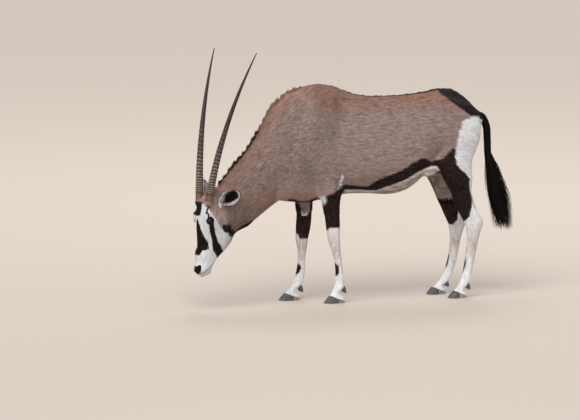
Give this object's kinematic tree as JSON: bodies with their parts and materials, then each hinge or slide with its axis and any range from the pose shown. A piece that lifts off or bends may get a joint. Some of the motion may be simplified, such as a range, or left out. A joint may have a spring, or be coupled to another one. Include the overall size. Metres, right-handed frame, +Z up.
{
  "type": "gemsbok",
  "caption": "Life-size standing gemsbok with lowered head, long ringed horns, cupped ears, cloven hooves and a tufted tail.",
  "frame": {"origin": "on the floor, under the middle of the whole animal's box", "axes": "+Z up, -X the way the body faces, -Y the animal's left side"},
  "size_m": [1.913, 0.5356, 1.4469],
  "materials": {
    "coat": "short fur",
    "black_hair": "long coarse hair",
    "horn": "ridged horn, satin",
    "hoof": "satin horn",
    "eye": "wet gloss"
  },
  "bodies": {
    "root": {"claw_fore_left_inner": "hoof", "claw_fore_left_outer": "hoof", "claw_fore_right_inner": "hoof", "claw_fore_right_outer": "hoof", "claw_hind_left_inner": "hoof", "claw_hind_left_outer": "hoof", "claw_hind_right_inner": "hoof", "claw_hind_right_outer": "hoof", "ear_left": "coat", "ear_right": "coat", "eye_left": "eye", "eye_right": "eye", "head": "coat", "horn_left": "horn", "horn_right": "horn", "leg_fore_left": "coat", "leg_fore_right": "coat", "leg_hind_left": "coat", "leg_hind_right": "coat", "neck": "coat", "tail": "black_hair", "tail_tuft": "black_hair", "torso": "coat"}
  },
  "joints": []
}
